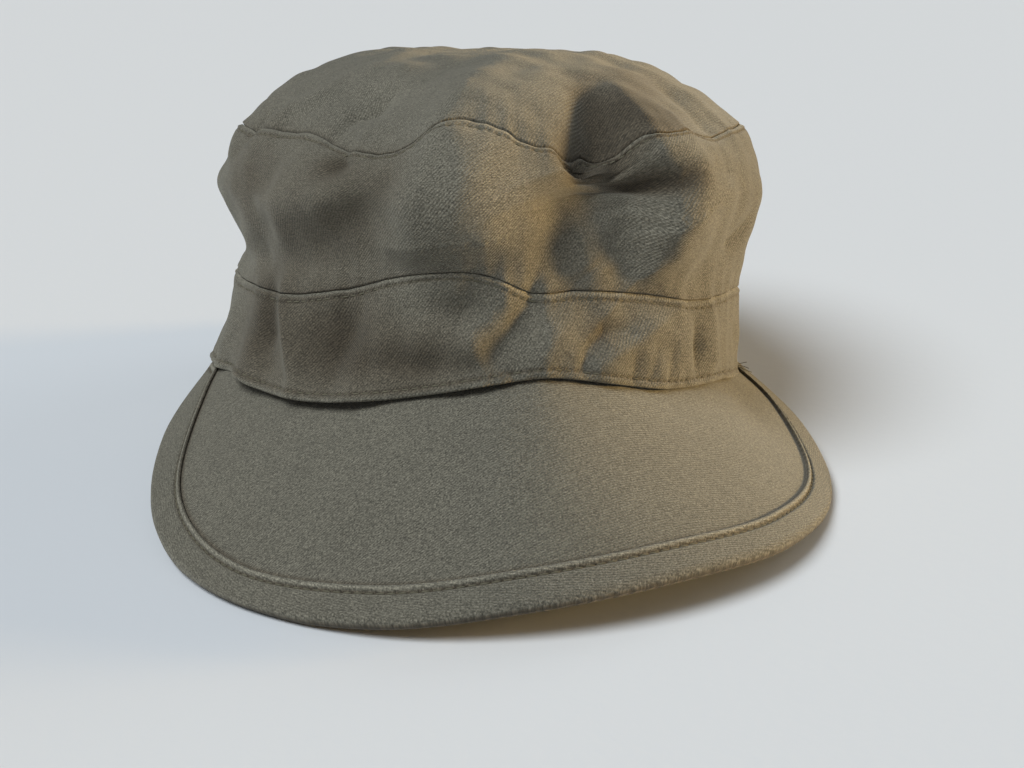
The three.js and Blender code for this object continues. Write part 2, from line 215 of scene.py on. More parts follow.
# Soft patches of painted light (+) and painted shade (-) on the cloth, with their reach round and
# along the cloth in millimetres.
LIGHT_AND_SHADE_PATCHES = table("angle up around along tone", [
    [22, 97, 6, 11, -0.8],
    [31, 93, 9, 9, -1.1],
    [33, 86, 10, 5.5, -0.9],
    [17, 80, 11, 9, -1.2],
    [28, 64, 12, 4.5, -1.2],
    [42, 106, 14, 12, -0.6],
    [22, 47, 13, 12, 0.4],
    [-3, 56, 14, 20, 1.0],
    [3, 24, 10, 9, 0.3],
    [-33, 104, 16, 10, 0.3],
    [-37, 71, 6, 6, -0.6],
    [-26, 64, 14, 13, -0.4],
    [-48, 64, 20, 16, -0.25],
    [-66, 66, 16, 20, -0.5],
    [-40, 44, 28, 14, -0.4],
    [-36, 13, 18, 13, -0.9],
    [-58, 18, 18, 18, -0.9],
    [-18, 9, 15, 9, -0.7],
    [-10, 20, 8, 7, -0.1],
    [18, 17, 4, 4, -0.5],
])

# How worn (+) the cloth is at its edges and on the crests of its folds, and the painted shade (-) in its
# seams, gaps and fold hollows.
FOLD_SHADE_AND_WEAR = 0.15
MARKED_HEIGHT = 8  # a fold this high or deep is marked in full
EDGE_WEAR = 0.5
LIP_WEAR = 0.3
CREST_WEAR = 0.6
CREST_AT = 0.3
STITCH_SHADE = 0.5
MARK_HALF = 0.5
LAP_SHADE = 0.4
LAP_SHADE_REACH = 0.8
PANEL_SHADE = 0.8
PANEL_SHADE_REACH = 0.9
WELT_WEAR_AT = 1.1
WELT_MARK_HALF = 0.45
WELT_SHADE = 1.2
WELT_SHADE_REACH = 0.38
WELT_SHADE_LEAST = 0.2  # of it, at the front
WELT_SHADE_FROM = 10  # degrees from the front, where it begins to grow
WELT_SHADE_OVER = 30  # and over which it does

# How far the lower lip of the band turns out.
LIP_FLARE = table("angle out", [
    [-180, 0.2], [-70, 0.3], [-55, 1.4], [-40, 2.2], [-28, 1.8], [-15, 0.7], [0, 0.3], [60, 0.3],
    [180, 0.2],
])

# ---- the shape of the peak ----

# Places on the edge of the peak, from one end of the binding to the other, and its width there.
PEAK = table("angle x y z border", [
    [-88, -82.6, -5.0, -0.9, 13],
    [-72, -94.8, -48.7, -15.6, 20],
    [-54, -93.1, -93.4, -28.5, 12.5],
    [-36, -73.7, -130.0, -35.8, 11],
    [-18, -38.1, -154.4, -34.4, 11.5],
    [0, 0.0, -161.5, -28.1, 11.6],
    [18, 37.2, -153.7, -23.3, 11.4],
    [36, 68.5, -131.6, -22.1, 10.8],
    [54, 89.4, -92.7, -21.1, 10.8],
    [72, 93.2, -48.0, -12.4, 15],
    [88, 82.6, -5.0, -1.2, 13],
])
# How far the root of the peak sits over the hem: it is drawn up where the hem lies on it.
ROOT_RISE = table("angle rise", [
    [-88, 3.2], [-76, 3], [-62, 1.0], [-40, 0.3], [-20, 0.4], [0, 0.7], [30, 0.9], [60, 0.7],
    [76, 1.5], [88, 2],
])
# Soft swells (+) and dimples (-) of the panel, by angle and share of the way from root to edge.
PEAK_SWELLS = table("angle share width reach height", [
    [58, 0.25, 7, 0.2, -1.3],
    [70, 0.45, 8, 0.3, 0.7],
    [-20, 0.35, 24, 0.3, 0.5],
    [22, 0.5, 20, 0.3, -0.5],
    [-58, 0.3, 12, 0.3, -0.5],
])

# ---- the way the cap lies ----

REST_TILT = 7.9  # degrees, the front goes up
REST_ROLL = 3.3  # degrees, the right side goes down
REST_HEIGHT = 13.9  # of the middle of the hem's level over the surface
LIE = np.array(Matrix.Rotation(REST_ROLL * DEGREE, 3, "Y") @ Matrix.Rotation(-REST_TILT * DEGREE, 3, "X"))

# ---- how fine the meshes are ----

COLUMNS = 720  # round the head
TOP_COLUMNS = 620
FRONT_CROWDING = 0.35  # 0 spaces the columns evenly
PANEL_COLUMNS = 360
RIM_COLUMNS = 560
LAP_ROWS = 5
EDGE_ROWS = 18  # within FINE of an edge
LAP_CROWDING = 1.7  # the rows over a lap are closest at its fold
CROWN_ROWS = 74
SIDE_ROWS = 40
BAND_ROWS = 20
PANEL_ROWS = 81
LEAF_ROWS = 31
INNER_ROWS = {"crown": 20, "crown_edge": 8, "side": 22, "band": 16, "panel": 25, "slot": 4}
FOLD_TURNS = [0, 30, 60, 90, 120, 150, 180]  # degrees round a folded edge, from its outer face
LAP_TURNS = [180, 135, 90, 45]
RIM_TURNS = [60, 30, 0, -30, -60, -90]  # round the rim of the peak, from its upper face
RIM_SAMPLES = 45
JOINED = 2e-6  # metres: vertices this near are one
SLIVER = 1e-7  # and an edge this short is none


def eased(share):
    """A share from 0 to 1 that starts and ends gently."""
    return share * share * (3 - 2 * share)


def bell(away, half):
    """1 at no distance, and a third at "half"."""
    return np.exp(-(away / half) ** 2)


def along(rows, key, place, column):
    """A smooth curve through a table's rows, read at each place."""
    keys = np.array([row[key] for row in rows], float)
    values = np.array([row[column] for row in rows], float)
    last = len(rows) - 1
    at = np.clip(place, keys[0], keys[-1])
    i = np.clip(np.searchsorted(keys, at, side="right") - 1, 0, last - 1)
    before = np.maximum(np.arange(last + 1) - 1, 0)
    after = np.minimum(np.arange(last + 1) + 1, last)
    slopes = (values[after] - values[before]) / (keys[after] - keys[before])
    span = keys[i + 1] - keys[i]
    t = (at - keys[i]) / span
    bend = eased(t)
    leave = t * (1 - t) ** 2 * span * slopes[i]
    arrive = t * t * (1 - t) * span * slopes[i + 1]
    return values[i] * (1 - bend) + values[i + 1] * bend + leave - arrive


def hem_up(angle):
    return along(HEM_WAVE, "angle", angle, "rise")


def band_seam_up(angle):
    return BAND_SEAM + along(BAND_SEAM_WAVE, "angle", angle, "rise")


def top_seam_up(angle):
    return TOP_SEAM + along(TOP_SEAM_WAVE, "angle", angle, "rise")


def dome_share(up):
    """1 at the top seam and below it, 0 in the middle of the crown."""
    return np.clip(1 - (up - TOP_SEAM) / DOME_REACH, 0, 1)


def plain_point(angle, up):
    """A place on the cloth before it is folded, in the cap's own frame."""
    side = np.sin(angle * DEGREE)
    ahead = np.cos(angle * DEGREE)
    at = {column: along(SECTIONS, "up", up, column) for column in SECTIONS[0] if column != "up"}
    middle = (at["zLeft"] + at["zRight"]) / 2
    lean = (at["zRight"] - at["zLeft"]) / 2
    end = np.where(ahead > 0, at["zFront"], at["zBack"])
    x = side * np.where(side > 0, at["right"], at["left"])
    y = -ahead * np.where(ahead > 0, at["front"], at["back"])
    z = middle + lean * side + (end - middle) * ahead * ahead
    share = dome_share(up)
    crown = middle + (z - middle) * share * share + DOME_RISE * (1 - share ** DOME_POWER)
    return np.stack([x * share, y * share, np.where(share < 1, crown, z)], -1)


def outward(angle, up):
    """The outward direction of the unfolded cloth."""
    turn = plain_point(angle + SLOPE_STEP, up) - plain_point(angle - SLOPE_STEP, up)
    climb = plain_point(angle, up + SLOPE_STEP) - plain_point(angle, up - SLOPE_STEP)
    normal = np.cross(turn, climb)
    length = np.linalg.norm(normal, axis=-1, keepdims=True)
    return np.where(length > TINY, normal / np.maximum(length, TINY), [0.0, 0.0, 1.0])


def wrapped(angle):
    return (angle + 180) % 360 - 180


def fold_height(angle, up):
    """How far the folds push the cloth out (+) or in (-)."""
    per_degree = HEAD_RADIUS * DEGREE * dome_share(up)
    shape = np.broadcast(angle, up).shape
    height = np.zeros(shape)
    for fold in FOLDS:
        nearest = np.full(shape, np.inf)
        pushed = np.zeros(shape)
        side = np.zeros(shape)
        for start, end in zip(fold["path"][:-1], fold["path"][1:]):
            run_x = wrapped(end[0] - start[0]) * per_degree
            run_y = end[1] - start[1]
            x = wrapped(angle - start[0]) * per_degree
            y = up - start[1]
            share = np.clip((x * run_x + y * run_y) / (run_x * run_x + run_y * run_y + TINY), 0, 1)
            away = np.hypot(x - share * run_x, y - share * run_y)
            turn = (run_x * y - run_y * x) / (away * np.hypot(run_x, run_y) + TINY)
            closer = away < nearest
            nearest = np.where(closer, away, nearest)
            side = np.where(closer, turn, side)
            pushed = np.where(closer, start[2] + (end[2] - start[2]) * share, pushed)
        width = (fold["width"] * (1 - side) + fold["other"] * (1 + side)) / 2
        power = fold["edge"] / 2
        height += pushed * np.exp(CREST ** power - ((nearest / width) ** 2 + CREST) ** power)
    return DEEPEST * np.tanh(height / DEEPEST)


def painted_light_and_shade(angle, up):
    """How much painted light (+) and painted shade (-) lies on the cloth at each place."""
    shade = np.zeros(np.broadcast(angle, up).shape)
    for patch in LIGHT_AND_SHADE_PATCHES:
        x = wrapped(angle - patch["angle"]) * HEAD_RADIUS * DEGREE * dome_share(up) / patch["around"]
        y = (up - patch["up"]) / patch["along"]
        shade += patch["tone"] * np.exp(-x * x - y * y)
    return shade


def waves(seed, count, shortest, longest, height):
    """Gentle seeded waves through space: a function from points to heights."""
    random = np.random.default_rng(seed)
    lengths = np.geomspace(shortest, longest, count)
    ways = random.normal(size=(count, 3))
    ways *= (2 * math.pi / lengths / np.linalg.norm(ways, axis=1))[:, None]
    starts = random.uniform(0, 2 * math.pi, count)
    sizes = height * lengths / longest

    def read(points):
        return np.sin(points @ ways.T + starts) @ sizes

    return read


rumple = waves(seed=11, count=30, shortest=8, longest=44, height=0.3)


def cloth_point(angle, up, depth):
    """A place on the folded cloth, "depth" under its outer face."""
    plain = plain_point(angle, up)
    height = fold_height(angle, up) + rumple(plain) - depth
    return plain + outward(angle, up) * height[..., None]


def lie_down(points, below=0.0):
    """Tilts and lifts points with the cap, and flattens what would sink into the surface."""
    lying = points @ LIE.T + [0, 0, REST_HEIGHT]
    lying[..., 2] = np.maximum(lying[..., 2], below)
    return lying


# ---- the peak ----


def root_point(angle):
    """The plain root of the peak, before the folds of the hem shift it."""
    hem = hem_up(angle)
    root = plain_point(angle, hem) - outward(angle, hem) * ROOT_DEPTH
    root[..., 2] += along(ROOT_RISE, "angle", angle, "rise")
    return root


def edge_point(angle):
    return np.stack([along(PEAK, "angle", angle, axis) for axis in "xyz"], -1)


def ruling_length(angle):
    return np.linalg.norm(root_point(angle) - edge_point(angle), axis=-1)


def binding_width(angle):
    return np.minimum(along(PEAK, "angle", angle, "border"), ruling_length(angle) - HEM_CLEARANCE)


def peak_point(angle, inward, height):
    """A place "inward" from the edge of the peak and "height" over the middle of its panel."""
    share = 1 - inward / ruling_length(angle)
    part = share[..., None]

    def on_ruling(at):
        return root_point(at) * (1 - part) + edge_point(at) * part

    across = on_ruling(angle + PEAK_SLOPE_STEP) - on_ruling(angle - PEAK_SLOPE_STEP)
    up = np.cross(across, edge_point(angle) - root_point(angle))
    up *= np.sign(up[..., 2:]) / np.linalg.norm(up, axis=-1, keepdims=True)
    swell = np.zeros(share.shape)
    for row in PEAK_SWELLS:
        far = ((angle - row["angle"]) / row["width"]) ** 2 + ((share - row["share"]) / row["reach"]) ** 2
        swell += row["height"] * np.exp(-far)
    hem = hem_up(angle)
    shift = fold_height(angle, hem) * np.exp(-ruling_length(angle) * share / ROOT_FADE)
    return on_ruling(angle) + up * (height + swell)[..., None] + outward(angle, hem) * shift[..., None]


def peak_laid(angle, inward, height):
    """The same place on the cap as it lies, flattened where it would sink into the surface."""
    return lie_down(peak_point(angle, inward, height), (height + RIM_HALF) * LAYER_SHARE)


def frame_shift():
    """From the cap's own centre to the frame's, by the place of the rim of the peak."""
    angle = np.linspace(-PEAK_END, PEAK_END, RIM_SAMPLES)
    rim = peak_laid(angle, np.zeros_like(angle), np.zeros_like(angle))
    low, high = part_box("peak_border")
    x = (low.x + high.x) / 2 / MM - (rim[:, 0].min() + rim[:, 0].max()) / 2
    return np.array([x, low.y / MM - rim[:, 1].min(), 0])


SHIFT = frame_shift()

# ---- meshes ----


def column_angles(count):
    """Angles round the head from -180 to 180, closest together at the front."""
    turn = np.linspace(-1, 1, count + 1)
    return 180 * turn - FRONT_CROWDING / DEGREE * np.sin(math.pi * turn)


def spaced(low, high, count, crowd=1):
    """Rows of heights from low to high, without the last one, "crowd" times closer at the low end."""
    share = ((np.arange(count) / count) ** crowd)[:, None]
    return low + (high - low) * share


def cloth_piece(name, places, chart, marks, material):
    """A closed piece of cloth from a grid of places (rows, columns, xyz, in millimetres).

    "chart" holds the places on the flat cloth in millimetres, for the weave, and "marks" how worn
    (+) each place is, with painted light (+) and painted shade (-) added. A plain grid gives the faces,
    and its vertices are moved.
    """
    rows, columns = places.shape[:2]
    grid = bmesh.new()
    grid.loops.layers.uv.new("Cloth")
    bmesh.ops.create_grid(grid, x_segments=columns - 1, y_segments=rows - 1, size=0.5)
    mesh = bpy.data.meshes.new(name)
    grid.to_mesh(mesh)
    grid.free()
    flat = np.empty(len(mesh.vertices) * 3, np.float32)
    mesh.vertices.foreach_get("co", flat)
    flat = flat.reshape(-1, 3)
    column = np.rint((flat[:, 0] + 0.5) * (columns - 1)).astype(int)
    row = np.rint((flat[:, 1] + 0.5) * (rows - 1)).astype(int)
    mesh.vertices.foreach_set("co", ((places[row, column] + SHIFT) * MM).astype(np.float32).ravel())
    corner = np.empty(len(mesh.loops), np.int32)
    mesh.loops.foreach_get("vertex_index", corner)
    mesh.uv_layers["Cloth"].data.foreach_set("uv", chart[row, column][corner].astype(np.float32).ravel())
    # the "worn" attribute holds the wear together with the painted light and painted shade
    worn = mesh.attributes.new("worn", "FLOAT", "POINT")
    worn.data.foreach_set("value", marks[row, column].astype(np.float32))
    close_up(mesh)
    return add_piece(name, mesh, material)


def close_up(mesh):
    """Joins the edges of a grid that meet, and turns its faces outward."""
    shape = bmesh.new()
    shape.from_mesh(mesh)
    bmesh.ops.remove_doubles(shape, verts=shape.verts, dist=JOINED)
    bmesh.ops.dissolve_degenerate(shape, edges=shape.edges, dist=SLIVER)
    bmesh.ops.recalc_face_normals(shape, faces=shape.faces)
    finish_mesh(shape, mesh)


def finish_mesh(shape, mesh):
    """Writes a smooth shape into its mesh."""
    for face in shape.faces:
        face.smooth = True
    shape.to_mesh(mesh)
    shape.free()


def add_piece(name, mesh, material):
    """Adds a finished piece, which moves with the cap."""
    piece = bpy.data.objects.new(name, mesh)
    bpy.context.scene.collection.objects.link(piece)
    mesh.materials.append(material)
    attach(piece, "root")
    return piece


# ---- seams ----


def stitch_pull(arc, away, pitch):
    """How deep a row of stitches pulls the cloth in."""
    dimples = 1 - DIMPLED + DIMPLED * np.cos(2 * math.pi * arc / pitch)
    return GROOVE * dimples * bell(away, GROOVE_HALF)


def puckers(arc, away, reach):
    """The small gathers of a sewn seam, which fade with the distance from it."""
    phase = arc * PUCKER_TURN
    for drift in PUCKER_DRIFTS:
        phase = phase + drift["size"] * np.sin(arc * drift["turn"] + drift["start"])
    depth = PUCKER_DEPTH * (1 + np.sin(arc * PUCKER_CHANGE + 1) / 2)
    return depth * np.sin(phase) * np.exp(-np.abs(away) / reach)


def folded_edge(angle, beneath, stitch, pitch, press=0.0):
    """Depth of the cloth "beneath" a folded, stitched edge, which is pressed thinner at its end."""
    arc = angle * HEAD_RADIUS * DEGREE
    pull = stitch_pull(arc, beneath - stitch, pitch)
    roll = EDGE_ROLL * bell(beneath - ROLL_AT, ROLL_HALF)
    pressed = press * bell(beneath, PRESS_REACH)
    return pull - roll + puckers(arc, beneath, PUCKERS_ON_FOLD) + pressed


def below_fold(angle, over):
    """Depth of a wall that comes out from under a fold, by the height over the fold's edge."""
    arc = angle * HEAD_RADIUS * DEGREE
    step = STEP * np.clip(1 - (over - STEP_RAMP) / FADE, 0, 1)
    climb = eased(np.clip(over / STEP_RAMP, 0, 1))
    lapped = BAND_THICK + AIR
    return lapped * (1 - climb) + (step + puckers(arc, over, PUCKERS_UNDER_FOLD)) * climb


def edge_marks(beneath, stitch):
    """Wear along a fold's crest (+) and the shade in its row of stitches (-)."""
    crest = CREST_WEAR * bell(beneath - CREST_AT, MARK_HALF)
    return crest - STITCH_SHADE * bell(beneath - stitch, MARK_HALF)


def half_round(middle_up, depth, radius, turns):
    """Rows round a folded edge: up and depth at each turn from 0 (outer face) to 180 (inner)."""
    turns = np.array(turns)[:, None] * DEGREE
    return middle_up + radius * np.sin(turns), depth + radius * (1 - np.cos(turns))


def lapped_end(angle, seam, inside, depth):
    """Blocks of rows for a wall's lower end: its hidden edge, its lap, and where it comes out."""
    up, under = half_round(seam - LAP, inside, WALL_THICK / 2, LAP_TURNS)
    hidden = spaced(seam - LAP, seam, LAP_ROWS)
    near = spaced(seam, seam + FINE, EDGE_ROWS, LAP_CROWDING)
    return [
        (2 * (seam - LAP) - up, under, 0.0),
        (hidden, below_fold(angle, hidden - seam), 0.0),
        (near, depth(near), -LAP_SHADE * np.exp(-(near - seam) / LAP_SHADE_REACH)),
    ]


def wall_chart(angle, up):
    return np.stack([angle * HEAD_RADIUS * DEGREE, up], -1)


def stacked(blocks, part, columns):
    """One part of each block of rows, at full width and in order."""
    return np.vstack([np.broadcast_to(block[part], (len(block[0]), columns)) for block in blocks])


def closed(rows):
    """Rows that run round a section, with the first again at the end."""
    return np.vstack([rows, rows[:1]])


def wall_piece(name, angle, rows, chart, material):
    """A piece of the crown from the blocks of rows (up, depth, marks) that run round its section."""
    up, depth, marks = (closed(stacked(rows, part, len(angle))) for part in range(3))
    turn = np.broadcast_to(angle, up.shape)
    places = lie_down(cloth_point(turn, up, depth))
    # painted shade in the hollows of the folds, lighter worn cloth on their crests, and the patches of
    # painted light and shade
    folded = np.clip(fold_height(turn, up) / MARKED_HEIGHT, -1, 1)
    marks = marks + painted_light_and_shade(turn, up) + FOLD_SHADE_AND_WEAR * folded
    return cloth_piece(name, places, chart(turn, up), marks, material)


# ---- materials ----

# Sizes of the patterns in the cloth and the thread, in millimetres. The yarns of such a twill are
# about 0.3 apart, too fine to show, so its ribs, threads and crossings are drawn up to half as
# coarse again.
RIB_DRIFT = 9  # over which the ribs wander
RIB_DRIFT_TURNS = 1.6  # and by how many ribs
CROSSING = (0.42, 0.3, 1)
SPECK = 0.5
SLUB = (6, 0.6, 1)
CLOUD = 34
FIBRE_TUFT = 1.11
ROLLER_GRAIN = 3.85  # of the floor's paint

# The ribs of each cut of cloth, in degrees from the way round the head (across it on the peak).
RIB_TURNS = {
    "twill_top_panel": 52,
    "twill_side_wall": 50,
    "twill_band": 50,
    "twill_peak_panel": 28,
    "twill_binding": 12,
}
RIB_NOTCH = 0.7  # the height of a rib between two steps of the weft
DARK_YARN = 0.66  # of the cloth's colour
LIGHT_YARN = 1.22
GRAIN = (0.28, 0.72)  # between them, from the furrows to the ribs
SPECK_RELIEF = 0.8
DARK_FIBRE = 0.6
LIGHT_FIBRE = 1.2
PAINTED_SHADE_TINT = (1.12, 0.97, 0.85, 1)  # the painted shade is browner, like light bounced off the olive cloth
UNTINTED = (1, 1, 1, 1)
# Each pattern multiplies the cloth's tone, by "dark" at "low" and by "light" at "high".
TONES = table("pattern low high dark light", [
    ["speck", 0.33, 0.67, 0.45, 1.6],
    ["crossing", 0, 1, 0.62, 1.38],
    ["slub", 0.3, 0.7, 0.94, 1.06],
    ["cloud", 0.3, 0.7, 0.95, 1.05],
    # the "worn" marks lighten with wear and painted light, and darken with painted shade
    ["worn", -1, 1, 0.3, 1.41],
])


def linear(hex_colour):
    """A colour for a shader from its sRGB hex value."""
    parts = [int(hex_colour[i:i + 2], 16) / 255 for i in (1, 3, 5)]
    return (*(c / 12.92 if c <= 0.04045 else ((c + 0.055) / 1.055) ** 2.4 for c in parts), 1)


def shaded(colour, share):
    """A darker or lighter kind of a colour."""
    return (*(c * share for c in colour[:3]), 1)


def add_node(tree, kind, inputs=None, **settings):
    """Adds a shader node. Inputs are sockets, nodes (their first output) or plain values."""
    node = tree.nodes.new("ShaderNode" + kind)
    for name, value in settings.items():
        setattr(node, name, value)
    for key, value in (inputs or {}).items():
        if isinstance(value, bpy.types.Node):
            value = value.outputs[0]
        if isinstance(value, bpy.types.NodeSocket):
            tree.links.new(value, node.inputs[key])
        else:
            node.inputs[key].default_value = value
    return node


def new_material(name):
    material = bpy.data.materials.new(name)
    material.use_nodes = True
    material.node_tree.nodes.clear()
    return material, material.node_tree


def finish_material(tree, colour, relief, height, strength, look):
    """Ends a material with a surface in relief, "height" metres high."""
    bump = add_node(tree, "Bump", {"Height": relief, "Distance": height, "Strength": strength})
    shader = add_node(tree, "BsdfPrincipled", {"Base Color": colour, "Normal": bump, **look})
    add_node(tree, "OutputMaterial", {"Surface": shader})


A, B, MIXED = 6, 7, 2  # the colour sockets of a Mix node


def twill(name, cloth):
    """Cotton twill, piece-dyed and washed soft: diagonal ribs with the weft's cross threads, heathered
    yarn and a faint fuzz. It gives the eye a matt cloth whose ribs only show in raking light."""
    material, tree = new_material(name)
    place = add_node(tree, "UVMap", uv_map="Cloth")
    rib = cloth.rib_spacing / MM
    thread = cloth.thread_spacing / MM
    turn = RIB_TURNS[name] * DEGREE
    across = (math.sin(turn) / rib, -math.cos(turn) / rib, 0)
    drift = add_node(tree, "TexNoise", {"Vector": place, "Scale": 1 / RIB_DRIFT, "Detail": 2.0})
    count = add_node(tree, "VectorMath", {0: place, 1: across}, operation="DOT_PRODUCT")
    count = add_node(tree, "Math", {0: drift, 1: RIB_DRIFT_TURNS, 2: count.outputs["Value"]},
                     operation="MULTIPLY_ADD")
    wave = add_node(tree, "Math", {0: count, 1: 2 * math.pi}, operation="MULTIPLY")
    wave = add_node(tree, "Math", {0: wave}, operation="SINE")
    ribs = add_node(tree, "MapRange", {"Value": wave, "From Min": -1.0})
    # the weft crosses each rib in short level steps
    level = (0, 2 * math.pi / thread, 0)
    steps = add_node(tree, "VectorMath", {0: place, 1: level}, operation="DOT_PRODUCT")
    steps = add_node(tree, "Math", {0: steps.outputs["Value"]}, operation="SINE")
    steps = add_node(tree, "MapRange", {"Value": steps, "From Min": -1.0, "To Min": RIB_NOTCH})
    weave = add_node(tree, "Math", {0: ribs, 1: steps}, operation="MULTIPLY")
    # uneven yarn: speckles the size of a thread crossing, longer slubs, and a cloudy dye
    speck = add_node(tree, "TexNoise", {
        "Vector": place, "Scale": 1 / SPECK, "Detail": 3.0, "Roughness": 0.8})
    crossing = add_node(tree, "VectorMath", {0: place, 1: CROSSING}, operation="SNAP")
    stretch = tuple(1 / size for size in SLUB)
    slub = add_node(tree, "VectorMath", {0: place, 1: stretch}, operation="MULTIPLY")
    # the "worn" marks: wear, painted light and painted shade
    worn = add_node(tree, "Attribute", attribute_name="worn").outputs["Fac"]
    patterns = {
        "speck": speck,
        "crossing": add_node(tree, "TexWhiteNoise", {"Vector": crossing}),
        "slub": add_node(tree, "TexNoise", {"Vector": slub, "Scale": 1.0, "Detail": 1.0}),
        "cloud": add_node(tree, "TexNoise", {"Vector": place, "Scale": 1 / CLOUD, "Detail": 3.0}),
        "worn": worn,
    }
    tone = 1.0
    for row in TONES:
        part = add_node(tree, "MapRange", {
            "Value": patterns[row["pattern"]], "From Min": row["low"], "From Max": row["high"],
            "To Min": row["dark"], "To Max": row["light"]})
        tone = add_node(tree, "Math", {0: tone, 1: part}, operation="MULTIPLY")
    grain = add_node(tree, "MapRange", {"Value": weave, "To Min": GRAIN[0], "To Max": GRAIN[1]})
    yarns = {A: shaded(cloth.colour, DARK_YARN), B: shaded(cloth.colour, LIGHT_YARN)}
    colour = add_node(tree, "Mix", {0: grain, **yarns}, data_type="RGBA").outputs[MIXED]
    # the painted shade takes a browner tint
    painted_shade_share = add_node(tree, "MapRange", {"Value": worn, "From Min": 0.0, "From Max": -1.0})
    tint = add_node(tree, "Mix", {0: painted_shade_share, A: UNTINTED, B: PAINTED_SHADE_TINT}, data_type="RGBA").outputs[MIXED]
    colour = add_node(tree, "VectorMath", {0: colour, 1: tint}, operation="MULTIPLY")
    colour = add_node(tree, "VectorMath", {0: colour, "Scale": tone}, operation="SCALE")
    relief = add_node(tree, "Math", {0: speck, 1: SPECK_RELIEF, 2: weave}, operation="MULTIPLY_ADD")
    finish_material(tree, colour, relief, height=cloth.rib_height, strength=1.0, look={
        "Roughness": 0.93,
        "Specular IOR Level": 0.2,
        "Sheen Weight": 0.25,
        "Sheen Roughness": 0.6,
        "Sheen Tint": linear("#E1DDCE"),
    })
    return material


def sewing_thread(name, cloth):
    """Spun cotton thread, dyed with the cloth and a little paler: small matt dashes."""
    material, tree = new_material(name)
    place = add_node(tree, "TexCoord").outputs["Object"]
    noise = add_node(tree, "TexNoise", {"Vector": place, "Scale": 1 / (FIBRE_TUFT * MM), "Detail": 2.0})
    dark = shaded(cloth.thread_colour, DARK_FIBRE)
    light = shaded(cloth.thread_colour, LIGHT_FIBRE)
    colour = add_node(tree, "Mix", {0: noise, A: dark, B: light}, data_type="RGBA")
    finish_material(tree, colour.outputs[MIXED], noise, height=0.0001, strength=0.8, look={
        "Roughness": 0.8, "Specular IOR Level": 0.3})
    return material


def painted_floor(name, colour):
    """A matt emulsion-painted board: a pale, even ground."""
    material, tree = new_material(name)
    place = add_node(tree, "TexCoord").outputs["Object"]
    noise = add_node(tree, "TexNoise", {"Vector": place, "Scale": 1 / (ROLLER_GRAIN * MM), "Detail": 2.0})
    finish_material(tree, colour, noise, height=0.0002, strength=0.25, look={
        "Roughness": 0.85, "Specular IOR Level": 0.2})
    return material


# ---- what a user would change ----


def colour_property(name, description, hex_colour):
    return FloatVectorProperty(
        name=name, description=description, default=linear(hex_colour), size=4, min=0, max=1, subtype="COLOR",
    )


def length_property(name, description, metres):
    return FloatProperty(name=name, description=description, default=metres, unit="LENGTH", precision=5)


def power_property(name, description, power):
    return FloatProperty(name=name, description=description, default=power, min=0)


class FieldCapCloth(bpy.types.PropertyGroup):
    """The twill and the sewing."""

    colour: colour_property("Cloth colour", "The mean colour of the olive twill", "#706C60")
    thread_colour: colour_property("Thread colour", "The colour of the sewing thread", "#6B6756")
    rib_spacing: length_property("Rib spacing", "From one diagonal rib of the twill to the next", 0.00076)
    rib_height: length_property("Rib height", "How far the ribs stand out of the cloth", 0.00009)
    thread_spacing: length_property("Thread spacing", "From one weft thread to the next", 0.00045)
    stitch_length: length_property("Stitch length", "From one needle hole to the next", 0.0028)
    thread_width: length_property("Thread width", "Thickness of the sewing thread", 0.0005)


class FieldCapStage(bpy.types.PropertyGroup):
    """The floor, lights and camera."""

    floor_colour: colour_property("Floor colour", "The colour of the painted floor", "#D7DADE")
    room_colour: colour_property("Room colour", "The even light of the room", "#D9DDE2")
    room_power: power_property("Room power", "Strength of the even light", 0.2)
    key_colour: colour_property("Key colour", "Warm low light from +X", "#FFD790")
    key_power: power_property("Key power", "Strength of the warm light", 4.2)
    rim_colour: colour_property("Rim colour", "Broad light from behind", "#F9FFFD")
    rim_power: power_property("Rim power", "Strength of the light from behind", 1.0)
    fill_colour: colour_property("Fill colour", "Cool soft light from -X", "#F6FCFF")
    fill_power: power_property("Fill power", "Strength of the cool light", 2.7)
    lens: FloatProperty(
        name="Lens", description="Focal length", default=59.8, subtype="DISTANCE_CAMERA",
    )


# ---- operators ----


class BuildCrownTop(bpy.types.Operator):
    """Build the top panel of the crown"""

    bl_idname = "field_cap.crown_top"
    bl_label = "Crown top"

    def execute(self, context):
        cloth = context.scene.field_cap_cloth
        angle = column_angles(TOP_COLUMNS)
        seam = top_seam_up(angle)
        middle = np.full(angle.shape, float(TOP_SEAM + DOME_REACH))
        far = np.vstack([spaced(seam + FINE, middle, CROWN_ROWS), middle])
        inner = np.vstack([
            spaced(middle, seam + FINE, INNER_ROWS["crown"]),
            spaced(seam + FINE, seam - LAP, INNER_ROWS["crown_edge"]),
        ])

        def depth(up):
            return below_fold(angle, up - seam)

        rows = [
            *lapped_end(angle, seam, WALL_THICK + AIR, depth),
            (far, depth(far), 0.0),
            (inner, depth(inner) + WALL_THICK, 0.0),
        ]

        def chart(turn, up):
            reach = TOP_SEAM + DOME_REACH - up
            return np.stack([reach * np.sin(turn * DEGREE), -reach * np.cos(turn * DEGREE)], -1)

        fabric = twill("twill_top_panel", cloth)
        piece = wall_piece("crown_top_cloth", angle, rows, chart, fabric)
        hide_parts("crown_top")
        return {"FINISHED"}


